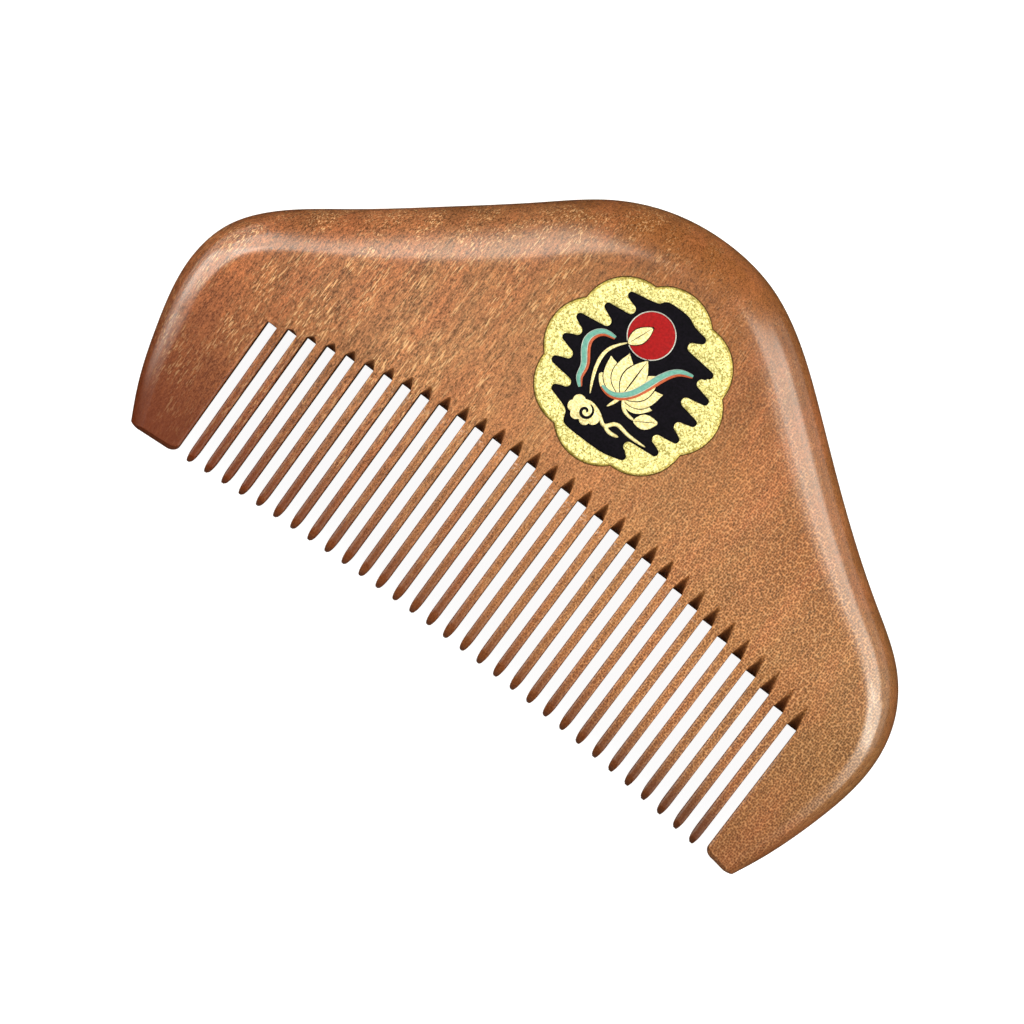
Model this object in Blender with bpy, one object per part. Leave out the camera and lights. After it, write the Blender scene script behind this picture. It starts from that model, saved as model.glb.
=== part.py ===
"""A wooden beard comb with a gold and enamel medallion let into its front face.

Units are metres. The comb lies on its flat back: X runs along its length, Y from the teeth to the
crown and Z out of its front face. The origin is under the middle of its bounding box.
"""

import math

import bmesh
import bpy
import numpy as np

MM = 0.001

# Board: half its thickness, its rounded edge, which broadens towards the crown and a little
# towards the left, and the taper towards the teeth's tips
HALF_THICKNESS = 5.3 * MM
EDGE_END = 3.1 * MM
EDGE_BACK = 7.4 * MM
EDGE_LOW_Y = 14.0 * MM
EDGE_HIGH_Y = 52.0 * MM
EDGE_BIAS = 0.11
EDGE_BIAS_REACH = 30.0 * MM
EDGE_STEPS = 3
HEIGHT = 62.0 * MM
TAPER_START = 26.0 * MM
FOOT_RATIO = 0.36
BLANK_FOOT = -3.0 * MM
OUTLINE_SAMPLES = 68

# The hill-shaped outline in millimetres, from the left foot over the crown to the right foot
OUTLINE = (
    (-43.9, -4.0), (-46.0, 0.0), (-48.2, 4.4), (-50.75, 11.7), (-52.4, 20.5), (-51.3, 26.5),
    (-47.15, 32.0), (-40.2, 37.5), (-30.9, 44.9), (-22.1, 52.2), (-15.1, 57.8), (-8.3, 60.9),
    (-0.6, 62.0),
    (7.1, 60.9), (13.5, 57.8), (21.1, 52.2), (30.3, 44.9), (40.8, 37.5),
    (48.2, 32.0), (51.5, 26.5), (52.4, 20.5), (50.85, 11.7), (48.4, 4.4), (46.4, 0.0), (44.4, -4.0),
)

# Saw slots between the teeth: they fan out slightly, and their pitch grows slightly to the right
SLOTS = 32
PITCH = 2.6 * MM
SLOT_MIDDLE = 1.17 * MM
SLOT_BOW = 0.6 * MM
SLOT_FAN = 0.019
SLOT_LEAN = -0.009
SLOT_PIVOT = 14.0 * MM
SLOT_WIDTH = 1.42 * MM
ROOT_TOP = 25.62 * MM
ROOT_TOP_X = -0.72 * MM
ROOT_CURVATURE = 3.65
TIP_TOP = 2.25 * MM
TIP_CURVATURE = 1.2
TIP_LENGTH = 2.0 * MM
TIP_WIDTH = 0.5 * MM
NOTCH_MIDDLE = 2.05 * MM
NOTCH_SLOPE = 0.012
NOTCH_LOSS = 1.5 * MM
NOTCH_FADE = 14.0 * MM
CUT_MARGIN = 0.8 * MM
GUARD_CORNER = 1.4 * MM
GUARD_RISE = 0.3 * MM
GUARD_SIDE = 1.8 * MM
FOOT_LEFT = -46.0 * MM
FOOT_RIGHT = 46.4 * MM
FAR = 60.0 * MM

# Medallion: an eight-lobed plate in a pocket, on a glue film
MEDALLION_Y = 41.9 * MM
LOBES = 8
LOBE_CENTRE = 6.4 * MM
LOBE_RADIUS = 5.9 * MM
LOBE_STEPS = 6
POCKET_CLEARANCE = 0.1 * MM
POCKET_DEPTH = 0.85 * MM
SEAT_GAP = 0.05 * MM
GLUE_THICKNESS = 0.1 * MM
GLUE_INSET = 0.4 * MM
PLATE_PROUD = 0.2 * MM
CELL_DEPTH = 0.4 * MM
ENAMEL_GAP = 0.05 * MM
ENAMEL_SINK = 0.05 * MM

# Black field: fingers of cloud on both sides, each (tip x, tip y, depth of the bay below it), in mm
LEFT_FINGERS = (
    (-6.6, 7.8, -4.6), (-8.1, 5.0, -6.1), (-10.1, 1.9, -8.3),
    (-10.0, -1.1, -7.5), (-9.4, -4.1, -5.6), (-7.3, -6.9, -4.1),
)
RIGHT_FINGERS = (
    (4.6, 8.6, 3.1), (7.9, 5.7, 6.7), (9.4, 2.8, 6.5),
    (9.8, -0.2, 7.6), (9.3, -3.1, 6.4), (8.2, -5.9, 4.1), (5.3, -8.7, 3.4),
)
FIELD_TOP = 10.0
FIELD_FOOT = -9.9
FINGER_RADIUS = 0.8
BAY_RADIUS = 0.62

# Sun, blossom, bud, leaf, stalks, cloud and bands, in mm about the medallion's centre
SUN = (-1.2, 5.3, 3.0)
SUN_STEPS = 23
SUN_LAST_ANGLE = 345
BLOSSOM_BASE = (0.3, -3.0)
PETALS = (
    (-76, 4.2, 1.0), (76, 4.2, 1.0), (-50, 5.2, 1.35), (50, 5.2, 1.35),
    (-25, 5.5, 1.45), (25, 5.5, 1.45), (0, 5.7, 1.5),
)
PETAL_FULLNESS = 0.9
BUD = ((-3.0, 2.7), 22, 3.9, 0.95)
LEAF = ((3.2, -4.5), 58, 3.3, 0.95)
STALKS = (
    ((0.3, -2.2), (0.1, -3.7), (-0.4, -4.9)),
    ((-2.9, 3.0), (-4.5, 0.6), (-4.3, -2.0), (-3.0, -4.9)),
    ((0.4, -2.4), (1.6, -4.0), (3.6, -4.3)),
)
STALK_WIDTH = 0.26
PUFFS = (
    (-3.7, -7.3, 0.75), (-3.5, -6.4, 0.8), (-0.9, -7.1, 0.85),
    (-2.9, -7.9, 0.7), (-1.6, -7.9, 0.65), (-2.2, -6.9, 1.35),
)
PUFF_STEPS = 14
TRAIL_WIDTH = 0.2
TRAILS = (
    ((-2.1, -5.6), (-0.3, -6.4), (0.8, -7.0), (1.7, -6.1), (3.2, -6.1), (4.8, -6.2), (6.4, -6.1)),
    ((0.5, -6.8), (1.7, -7.3), (3.0, -7.1)),
)
RIGHT_BAND = ((5.9, 4.4), (4.3, 3.9), (2.9, 2.2), (1.9, -0.2), (0.6, -2.4), (-0.9, -3.3), (-2.4, -3.2))
LEFT_BAND = ((-4.6, 2.5), (-6.3, 2.2), (-7.3, 0.5), (-6.6, -1.3), (-5.7, -2.7), (-5.4, -4.0), (-4.5, -5.0))
BAND_WIDTH = 0.36
BAND_END = 0.35
BAND_SWELL = 0.6
LINING_WIDTH = 0.2
BAND_SAMPLES = 22

FRONT = 2 * HALF_THICKNESS
POCKET_FLOOR = FRONT - POCKET_DEPTH
GLUE_BOTTOM = POCKET_FLOOR + SEAT_GAP
PLATE_BOTTOM = GLUE_BOTTOM + GLUE_THICKNESS + SEAT_GAP
PLATE_TOP = FRONT + PLATE_PROUD
CELL_FLOOR = PLATE_TOP - CELL_DEPTH
ABOVE = PLATE_TOP + 1.0 * MM


# ---------- curves ----------

def spline(points, samples):
    """Evenly spaced points on the natural cubic spline through the given points."""
    points = np.array(points, float)
    knots = np.concatenate([[0.0], np.cumsum(np.linalg.norm(np.diff(points, axis=0), axis=1))])
    step = np.diff(knots)
    count = len(points)
    matrix = np.eye(count)
    target = np.zeros((count, 2))
    for i in range(1, count - 1):
        matrix[i, i - 1] = step[i - 1]
        matrix[i, i] = 2 * (step[i - 1] + step[i])
        matrix[i, i + 1] = step[i]
        rise = (points[i + 1] - points[i]) / step[i] - (points[i] - points[i - 1]) / step[i - 1]
        target[i] = 6 * rise
    bend = np.linalg.solve(matrix, target)

    def at(t):
        i = min(int(np.searchsorted(knots, t, side="right")) - 1, count - 2)
        a = knots[i + 1] - t
        b = t - knots[i]
        h = step[i]
        cubic = (bend[i] * a ** 3 + bend[i + 1] * b ** 3) / (6 * h)
        linear = (points[i] / h - bend[i] * h / 6) * a + (points[i + 1] / h - bend[i + 1] * h / 6) * b
        return cubic + linear

    fine = np.array([at(t) for t in np.linspace(0, knots[-1], 20 * count)])
    length = np.concatenate([[0.0], np.cumsum(np.linalg.norm(np.diff(fine, axis=0), axis=1))])
    even = np.linspace(0, length[-1], samples)
    return np.stack([np.interp(even, length, fine[:, 0]), np.interp(even, length, fine[:, 1])], axis=1)


def side_normals(line):
    """Unit normals to the right of a line of points."""
    along = np.gradient(line, axis=0)
    along /= np.linalg.norm(along, axis=1)[:, None]
    return np.stack([along[:, 1], -along[:, 0]], axis=1)


def arc(x, y, radius, start, end, steps):
    """Points on a circular arc, from one angle in degrees to another."""
    angles = [math.radians(start + (end - start) * i / steps) for i in range(steps + 1)]
    return [(x + radius * math.cos(a), y + radius * math.sin(a)) for a in angles]


# ---------- outlines, in millimetres unless they say otherwise ----------

def medallion_outline(grow):
    """Eight-lobed rim in metres, each lobe a circular arc; grow moves it outwards."""
    points = []
    total = LOBES * LOBE_STEPS
    for i in range(total):
        angle = 2 * math.pi * i / total
        off_axis = (angle + math.pi / LOBES) % (2 * math.pi / LOBES) - math.pi / LOBES
        reach = LOBE_RADIUS ** 2 - (LOBE_CENTRE * math.sin(off_axis)) ** 2
        radius = LOBE_CENTRE * math.cos(off_axis) + math.sqrt(reach) + grow
        points.append((radius * math.cos(angle), radius * math.sin(angle)))
    return points


def finger_edge(fingers, side, shrink):
    """One ragged side of the field, going down: round finger tips and round bays in turn."""
    points = []
    tip_radius = FINGER_RADIUS - shrink
    bay_radius = BAY_RADIUS + shrink
    for i, (tip, y, bay) in enumerate(fingers):
        points += arc(tip - side * FINGER_RADIUS, y, tip_radius, 90, 90 - side * 180, 4)
        if i + 1 < len(fingers):
            middle = (y + fingers[i + 1][1]) / 2
            points += arc(bay + side * BAY_RADIUS, middle, bay_radius, 90, 90 + side * 180, 4)
    return points


def field_outline(grow):
    """Outline of the black field, without its picture."""
    shrink = -grow
    right = finger_edge(RIGHT_FINGERS, 1, shrink)
    left = finger_edge(LEFT_FINGERS, -1, shrink)
    top = FIELD_TOP - shrink
    foot = FIELD_FOOT + shrink
    crown = [(-2.9, 8.9 - shrink), (-2.3, 9.7 - shrink), (-1.6, top), (1.1, top), (1.9, 9.6 - shrink)]
    base = [(2.6, foot), (-3.0, foot), (-3.8 + shrink, -9.3), (-4.1 + shrink, -8.2)]
    return crown + right + base + left[::-1]


def petal(base, lean, length, half_width, grow, steps=6):
    """A pointed oval that starts at base and leans from straight up by an angle in degrees."""
    turn = math.radians(lean)
    right, left = [], []
    for i in range(steps + 1):
        share = i / steps
        along = -grow + (length + 2 * grow) * share
        across = (half_width + grow) * math.sin(math.pi * share ** PETAL_FULLNESS)
        right.append((along, across))
        left.append((along, -across))
    loop = right + left[-2:0:-1]
    return [
        (
            base[0] + along * math.sin(turn) + across * math.cos(turn),
            base[1] + along * math.cos(turn) - across * math.sin(turn),
        )
        for along, across in loop
    ]


def strip(line, low, high):
    """A strip beside a line, between two signed distances to its right."""
    normals = side_normals(line)
    one = line + normals * high
    other = line + normals * low
    return [tuple(p) for p in one] + [tuple(p) for p in other[::-1]]


def stroke(points, half_width, samples=9):
    """A strip of even width along a smooth line."""
    return strip(spline(points, samples), -half_width, half_width)


def band(points, low, high, grow):
    """A stretch of ribbon with tapered ends, between two distances from its centre line."""
    line = spline(points, BAND_SAMPLES)
    share = np.linspace(0, 1, BAND_SAMPLES)
    swell = BAND_END + (1 - BAND_END) * np.sin(np.pi * share) ** BAND_SWELL
    normals = side_normals(line)
    one = line + normals * (high * swell + grow)[:, None]
    other = line + normals * (low * swell - grow)[:, None]
    return [tuple(p) for p in one] + [tuple(p) for p in other[::-1]]


def picture_outlines(grow):
    """Every gold shape of the picture: petals, bud, leaf, stalks, cloud and its trails."""
    shapes = [petal(BLOSSOM_BASE, *p, grow) for p in PETALS]
    shapes.append(petal(*BUD, grow))
    shapes.append(petal(*LEAF, grow))
    shapes += [stroke(s, STALK_WIDTH + grow) for s in STALKS]
    for x, y, radius in PUFFS:
        shapes.append(arc(x, y, radius + grow, 0, 360 - 360 / PUFF_STEPS, PUFF_STEPS - 1))
    shapes += [stroke(t, TRAIL_WIDTH + grow, 14) for t in TRAILS]
    return shapes


# ---------- objects ----------

def new_object(name, bm, material=None, hidden=False):
    """Turns a bmesh into an object with outward faces; a hidden one only cuts."""
    bmesh.ops.recalc_face_normals(bm, faces=bm.faces)
    mesh = bpy.data.meshes.new(name)
    bm.to_mesh(mesh)
    bm.free()
    obj = bpy.data.objects.new(name, mesh)
    bpy.context.scene.collection.objects.link(obj)
    if material:
        mesh.materials.append(material)
    if hidden:
        obj.hide_render = True
        obj.display_type = "WIRE"
    return obj


def prism(name, outline, bottom, top, scale=MM, y=MEDALLION_Y - HEIGHT / 2, material=None, hidden=False):
    """An outline extruded from one height to another."""
    bm = bmesh.new()
    low = [bm.verts.new((px * scale, py * scale + y, bottom)) for px, py in outline]
    face = bm.faces.new(low)
    grown = bmesh.ops.extrude_face_region(bm, geom=[face])
    for vert in grown["geom"]:
        if isinstance(vert, bmesh.types.BMVert):
            vert.co.z = top
    return new_object(name, bm, material, hidden)


def cut(obj, *tools):
    """Subtracts each tool from an object."""
    for tool in tools:
        modifier = obj.modifiers.new("cut_" + tool.name, "BOOLEAN")
        modifier.operation = "DIFFERENCE"
        modifier.solver = "EXACT"
        modifier.object = tool


def finish_material(name, colour, roughness, metallic=0.0):
    """A plain Principled material."""
    material = bpy.data.materials.new(name)
    material.use_nodes = True
    shader = material.node_tree.nodes["Principled BSDF"]
    shader.inputs["Base Color"].default_value = (*colour, 1)
    shader.inputs["Roughness"].default_value = roughness
    shader.inputs["Metallic"].default_value = metallic
    return material


# ---------- comb ----------

def thickness_ratio(y):
    """Thickness at a height above the feet, as a share of the full thickness."""
    if y >= TAPER_START:
        return 1.0
    return FOOT_RATIO + (1 - FOOT_RATIO) * y / TAPER_START


def edge_width(x, y):
    """Width of the rounded edge: broad at the crown, narrower at the ends and the feet."""
    share = min(max((y - EDGE_LOW_Y) / (EDGE_HIGH_Y - EDGE_LOW_Y), 0.0), 1.0)
    width = EDGE_END + (EDGE_BACK - EDGE_END) * share * share * (3 - 2 * share)
    side = min(max(x / EDGE_BIAS_REACH, -1.0), 1.0)
    thinning = min(1.0, thickness_ratio(y) / thickness_ratio(EDGE_LOW_Y))
    return width * (1 - EDGE_BIAS * side) * thinning


def root_y(x):
    """Top of a slot, where it goes right through."""
    return ROOT_TOP - ROOT_CURVATURE * (x - ROOT_TOP_X) ** 2


def tip_y(x):
    """Line of the teeth's tips."""
    return TIP_TOP - TIP_CURVATURE * x ** 2


def slot_place(i):
    """Place of a slot at the pivot height, and how much it leans."""
    share = 2 * i / (SLOTS - 1) - 1
    x = SLOT_MIDDLE + share * (SLOTS - 1) * PITCH / 2 - SLOT_BOW * (1 - share ** 2)
    return x, SLOT_LEAN + SLOT_FAN * share


def notch_length(x):
    """How far the saw runs out into the face above a slot."""
    from_first = max(x - slot_place(0)[0], 0.0)
    return NOTCH_MIDDLE + NOTCH_SLOPE * x - NOTCH_LOSS * math.exp(-from_first / NOTCH_FADE)


def board_blank(material):
    """The board before sawing: a rounded edge all round, thinning towards the teeth."""
    line = spline(OUTLINE, OUTLINE_SAMPLES) * MM
    inward = side_normals(line)
    bm = bmesh.new()
    rings = []
    for step in range(-EDGE_STEPS, EDGE_STEPS + 1):
        angle = math.pi / 2 * step / EDGE_STEPS
        ring = []
        for i, (point, normal) in enumerate(zip(line, inward)):
            x, y = point + normal * edge_width(*point) * (1 - math.cos(angle))
            if i in (0, OUTLINE_SAMPLES - 1):
                y = BLANK_FOOT
            ring.append(bm.verts.new((x, y, HALF_THICKNESS * math.sin(angle))))
        rings.append(ring)
    for below, above in zip(rings, rings[1:]):
        for i in range(OUTLINE_SAMPLES - 1):
            bm.faces.new((below[i], below[i + 1], above[i + 1], above[i]))
    bm.faces.new(rings[0])
    bm.faces.new(rings[-1])
    bm.faces.new([ring[0] for ring in rings] + [ring[-1] for ring in reversed(rings)])
    everything = bm.verts[:] + bm.edges[:] + bm.faces[:]
    bmesh.ops.bisect_plane(bm, geom=everything, plane_co=(0, TAPER_START, 0), plane_no=(0, 1, 0))
    for vert in bm.verts:
        vert.co.z = HALF_THICKNESS + vert.co.z * thickness_ratio(vert.co.y)
        vert.co.y -= HEIGHT / 2
    return new_object("comb_body", bm, material)


def slot_cutters():
    """One object that holds every saw slot: flared at the tips, pointed where it runs out."""
    bm = bmesh.new()
    half = SLOT_WIDTH / 2
    wide = (PITCH - TIP_WIDTH) / 2
    level = HALF_THICKNESS + CUT_MARGIN
    for i in range(SLOTS):
        x, lean = slot_place(i)
        root = root_y(x)
        run_out = notch_length(x) * level / HALF_THICKNESS
        flare = tip_y(x) + TIP_LENGTH
        left_wide = wide if i > 0 else half
        right_wide = wide if i < SLOTS - 1 else half
        layers = []
        for z, apex in ((-level, root + run_out), (0, root), (level, root + run_out)):
            loop = (
                (-left_wide, BLANK_FOOT - CUT_MARGIN), (-left_wide, tip_y(x)), (-half, flare),
                (-half, root), (0, apex), (half, root),
                (half, flare), (right_wide, tip_y(x)), (right_wide, BLANK_FOOT - CUT_MARGIN),
            )
            layer = []
            for px, py in loop:
                shift = x + lean * (py - SLOT_PIVOT)
                layer.append(bm.verts.new((shift + px, py - HEIGHT / 2, HALF_THICKNESS + z)))
            layers.append(layer)
        for below, above in zip(layers, layers[1:]):
            for j in range(len(below)):
                k = (j + 1) % len(below)
                bm.faces.new((below[j], below[k], above[k], above[j]))
        bm.faces.new(layers[0])
        bm.faces.new(layers[-1])
    return new_object("cut_slots", bm, hidden=True)


def foot_cutter():
    """Everything below the guards' feet and the line of tips."""
    first, last = [
        x - lean * SLOT_PIVOT + side * SLOT_WIDTH / 2
        for (x, lean), side in ((slot_place(0), -1), (slot_place(SLOTS - 1), 1))
    ]
    outline = [
        (-FAR, 2 * GUARD_SIDE), (FOOT_LEFT - GUARD_CORNER, GUARD_SIDE),
        (FOOT_LEFT, GUARD_RISE), (FOOT_LEFT + GUARD_CORNER, 0),
        (first - GUARD_CORNER, GUARD_RISE), (first - GUARD_CORNER / 3, 2 * GUARD_RISE),
        (first, GUARD_CORNER),
    ]
    outline += [(x, tip_y(x)) for x in np.linspace(first + PITCH / 2, last - PITCH / 2, SLOTS)]
    outline += [
        (last, GUARD_CORNER), (last + GUARD_CORNER / 3, 2 * GUARD_RISE),
        (last + GUARD_CORNER, GUARD_RISE), (FOOT_RIGHT - GUARD_CORNER, 0),
        (FOOT_RIGHT, GUARD_RISE), (FOOT_RIGHT + GUARD_CORNER, GUARD_SIDE),
        (FAR, 2 * GUARD_SIDE), (FAR, -FAR), (-FAR, -FAR),
    ]
    return prism("cut_feet", outline, -CUT_MARGIN, FRONT + CUT_MARGIN, 1.0, -HEIGHT / 2, hidden=True)


def make_comb(wood):
    body = board_blank(wood)
    pocket = prism("cut_pocket", medallion_outline(POCKET_CLEARANCE), POCKET_FLOOR, ABOVE, 1.0, hidden=True)
    cut(body, pocket, foot_cutter(), slot_cutters())


# ---------- medallion ----------

def tools(name, outlines):
    """Hidden prisms that cut right through the enamel layer."""
    return [
        prism(f"cut_{name}_{i}", outline, PLATE_BOTTOM - CUT_MARGIN, ABOVE + CUT_MARGIN, hidden=True)
        for i, outline in enumerate(outlines)
    ]


def make_medallion(gold, glue, black, red, teal, orange):
    enamel_floor = CELL_FLOOR + ENAMEL_GAP
    black_top = PLATE_TOP - ENAMEL_SINK
    gap = ENAMEL_GAP / MM
    centre_side = -BAND_WIDTH
    bands = (("right", RIGHT_BAND, -1), ("left", LEFT_BAND, -1))

    def band_outline(points, side, inner, outer, grow):
        low, high = sorted((side * inner, side * outer))
        return band(points, low, high, grow)

    whole = [band_outline(p, s, centre_side, BAND_WIDTH + 2 * LINING_WIDTH, 0) for _, p, s in bands]
    wider = [band_outline(p, s, centre_side, BAND_WIDTH + 2 * LINING_WIDTH, gap) for _, p, s in bands]

    glue_outline = medallion_outline(-GLUE_INSET)
    prism("adhesive_bed", glue_outline, GLUE_BOTTOM, GLUE_BOTTOM + GLUE_THICKNESS, 1.0, material=glue)

    cell = prism("cut_cell", field_outline(0), CELL_FLOOR, ABOVE, hidden=True)
    cut(cell, *tools("picture", picture_outlines(0)))
    plate = prism("medallion_plate", medallion_outline(0), PLATE_BOTTOM, PLATE_TOP, 1.0, material=gold)
    band_cells = [
        prism(f"cut_band_cell_{i}", outline, CELL_FLOOR - SEAT_GAP, ABOVE, hidden=True)
        for i, outline in enumerate(whole)
    ]
    cut(plate, cell, *band_cells)

    picture = tools("picture_wide", picture_outlines(gap))
    band_tools = tools("band_wide", wider)
    sun_wide = tools("sun_wide", [arc(SUN[0], SUN[1], SUN[2] + gap, 0, SUN_LAST_ANGLE, SUN_STEPS)])
    field = prism("field_enamel", field_outline(-gap), enamel_floor, black_top, material=black)
    cut(field, *picture, *band_tools, *sun_wide)
    disc = arc(*SUN, 0, SUN_LAST_ANGLE, SUN_STEPS)
    sun = prism("sun_enamel", disc, enamel_floor, PLATE_TOP - ENAMEL_SINK / 2, material=red)
    cut(sun, *picture, *band_tools)

    for name, points, side in bands:
        upper = band_outline(points, side, centre_side + gap, BAND_WIDTH - gap / 2, 0)
        under = band_outline(points, side, BAND_WIDTH + gap / 2, BAND_WIDTH + 2 * LINING_WIDTH - gap, 0)
        prism("ribbon_enamel_" + name, upper, enamel_floor, PLATE_TOP, material=teal)
        prism("ribbon_lining_" + name, under, enamel_floor, PLATE_TOP - ENAMEL_SINK / 2, material=orange)


def main():
    for obj in list(bpy.data.objects):
        bpy.data.objects.remove(obj)
    wood = finish_material("wood", (0.42, 0.17, 0.08), 0.38)
    gold = finish_material("gold", (0.85, 0.72, 0.30), 0.35, 1.0)
    glue = finish_material("glue", (0.75, 0.72, 0.60), 0.5)
    black = finish_material("black_enamel", (0.006, 0.006, 0.01), 0.3)
    red = finish_material("red_enamel", (0.42, 0.01, 0.012), 0.3)
    teal = finish_material("teal_enamel", (0.18, 0.52, 0.42), 0.35)
    orange = finish_material("orange_enamel", (0.75, 0.18, 0.05), 0.35)
    make_comb(wood)
    make_medallion(gold, glue, black, red, teal, orange)


main()
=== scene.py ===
"""Looks of the wooden beard comb: polished board with sawn teeth, and its gold and enamel medallion.

Lengths are in millimetres where a name or a comment says so, and in metres in the scene.
"""

import math

import bmesh
import bpy
import numpy as np
from mathutils import Matrix, Vector

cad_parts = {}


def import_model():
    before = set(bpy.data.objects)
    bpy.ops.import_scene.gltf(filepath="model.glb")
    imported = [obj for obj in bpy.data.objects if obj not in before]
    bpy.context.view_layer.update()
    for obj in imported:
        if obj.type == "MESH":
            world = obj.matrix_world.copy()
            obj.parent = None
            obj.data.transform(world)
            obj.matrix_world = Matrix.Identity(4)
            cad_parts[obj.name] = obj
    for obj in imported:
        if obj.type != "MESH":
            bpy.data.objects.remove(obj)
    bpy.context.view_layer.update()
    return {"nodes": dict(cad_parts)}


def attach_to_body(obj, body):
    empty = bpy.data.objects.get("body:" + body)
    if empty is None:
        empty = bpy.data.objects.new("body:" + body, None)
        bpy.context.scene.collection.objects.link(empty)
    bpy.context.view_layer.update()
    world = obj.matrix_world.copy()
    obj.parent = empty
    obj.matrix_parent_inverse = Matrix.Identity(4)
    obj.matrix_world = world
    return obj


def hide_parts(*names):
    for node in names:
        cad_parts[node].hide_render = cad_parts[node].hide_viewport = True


MM = 0.001

# Board, as in the CAD model
HALF_THICKNESS = 5.3
EDGE_END = 3.1
EDGE_BACK = 7.4
EDGE_LOW_Y = 14.0
EDGE_HIGH_Y = 52.0
EDGE_BIAS = 0.11
EDGE_BIAS_REACH = 30.0
EDGE_STEPS = 16
EDGE_FLAT_RING = 0.4
TAPER_START = 26.0
TAPER_BLEND = 4.0
TAPER_CUT_STEP = 0.8
FOOT_RATIO = 0.36
HEIGHT = 62.0
BLANK_FOOT = -3.0
OUTLINE_SAMPLES = 420
BOARD_SHARP_ANGLE = 28
OUTLINE = (
    (-43.9, -4.0), (-46.0, 0.0), (-48.2, 4.4), (-50.75, 11.7), (-52.4, 20.5), (-51.3, 26.5),
    (-47.15, 32.0), (-40.2, 37.5), (-30.9, 44.9), (-22.1, 52.2), (-15.1, 57.8), (-8.3, 60.9),
    (-0.6, 62.0),
    (7.1, 60.9), (13.5, 57.8), (21.1, 52.2), (30.3, 44.9), (40.8, 37.5),
    (48.2, 32.0), (51.5, 26.5), (52.4, 20.5), (50.85, 11.7), (48.4, 4.4), (46.4, 0.0), (44.4, -4.0),
)

# Saw slots
SLOTS = 32
PITCH = 2.6
SLOT_MIDDLE = 1.17
SLOT_BOW = 0.6
SLOT_FAN = 0.019
SLOT_LEAN = -0.009
SLOT_PIVOT = 14.0
SLOT_WIDTH = 1.42
ROOT_TOP = 25.62
ROOT_TOP_X = -0.72
ROOT_CURVATURE = 0.00365
TIP_TOP = 2.25
TIP_CURVATURE = 0.0012
TIP_LENGTH = 2.0
TIP_WIDTH = 0.3
NOTCH_MIDDLE = 2.05
NOTCH_SLOPE = 0.012
NOTCH_LOSS = 1.5
NOTCH_FADE = 14.0
NOTCH_POWER = 2.6
NOTCH_SIDE_POWER = 0.6
TOOTH_ROUND = 0.36
ROUND_FADE = 3.5
ROUND_AT_ROOT = 0.15
BELOW_TIP = 0.6

# Where a slot has its points: shares of the tip's length, of the rounding's fade and of the notch,
# then depths below the face in mm, then shares of the way from there to the middle
TIP_STATIONS = (0.0, 0.08, 0.2, 0.35, 0.5, 0.7, 1.0)
ROOT_STATIONS = (1.0, 0.75, 0.5, 0.3, 0.15, 0.05)
NOTCH_STATIONS = (0.0, 0.25, 0.5, 0.7, 0.85, 0.95)
ROUND_DEPTHS = (0.0, 0.03, 0.08, 0.15, 0.24)
INNER_SHARES = (0.0, 0.2, 0.4, 0.65)

# Feet of the guards and line of the tips
GUARD_CORNER = 1.4
GUARD_RISE = 0.3
FOOT_LEFT = -46.0
FOOT_RIGHT = 46.4
FOOT_CORNER = 2.0
FOOT_TURN = 1.0
FOOT_REACH = 2.25
FAR = 60.0
TIP_NOSE = 1.6
FOOT_NOSE = 1.1
NOSE_HALF = 2.35
NOSE_STEPS = 8
CORNER_STEPS = 8
TIP_LINE_POINTS = 120
TIP_LINE_INSET = 0.05
FOOT_CUT_HEIGHT = 2.0
FOOT_CUT_LIP = 0.6
CUT_MARGIN = 0.8

# Medallion
MEDALLION_Y = 41.9
LOBES = 8
LOBE_CENTRE = 6.4
LOBE_RADIUS = 5.9
LOBE_STEPS = 20
POCKET_CLEARANCE = 0.1
POCKET_DEPTH = 0.85
PLATE_PROUD = 0.2
FRONT = 2 * HALF_THICKNESS
TOP = FRONT + PLATE_PROUD


# ---------- curves ----------

def spline(points, samples):
    """Evenly spaced points on the natural cubic spline through the given points."""
    points = np.array(points, float)
    knots = np.concatenate([[0.0], np.cumsum(np.linalg.norm(np.diff(points, axis=0), axis=1))])
    step = np.diff(knots)
    count = len(points)
    matrix = np.eye(count)
    target = np.zeros((count, 2))
    for i in range(1, count - 1):
        matrix[i, i - 1] = step[i - 1]
        matrix[i, i] = 2 * (step[i - 1] + step[i])
        matrix[i, i + 1] = step[i]
        rise = (points[i + 1] - points[i]) / step[i] - (points[i] - points[i - 1]) / step[i - 1]
        target[i] = 6 * rise
    bend = np.linalg.solve(matrix, target)

    def at(t):
        i = min(int(np.searchsorted(knots, t, side="right")) - 1, count - 2)
        a = knots[i + 1] - t
        b = t - knots[i]
        h = step[i]
        cubic = (bend[i] * a ** 3 + bend[i + 1] * b ** 3) / (6 * h)
        linear = (points[i] / h - bend[i] * h / 6) * a + (points[i + 1] / h - bend[i + 1] * h / 6) * b
        return cubic + linear

    fine = np.array([at(t) for t in np.linspace(0, knots[-1], max(40 * count, 2 * samples))])
    length = np.concatenate([[0.0], np.cumsum(np.linalg.norm(np.diff(fine, axis=0), axis=1))])
    even = np.linspace(0, length[-1], samples)
    return np.stack([np.interp(even, length, fine[:, 0]), np.interp(even, length, fine[:, 1])], axis=1)


def side_normals(line):
    """Unit normals to the right of a line of points."""
    along = np.gradient(line, axis=0)
    along /= np.linalg.norm(along, axis=1)[:, None]
    return np.stack([along[:, 1], -along[:, 0]], axis=1)


def arc(x, y, radius, start, end, steps):
    """Points on a circular arc, from one angle in degrees to another."""
    angles = [math.radians(start + (end - start) * i / steps) for i in range(steps + 1)]
    return [(x + radius * math.cos(a), y + radius * math.sin(a)) for a in angles]


def smoothstep(low, high, value):
    share = min(max((value - low) / (high - low), 0.0), 1.0)
    return share * share * (3 - 2 * share)


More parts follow.
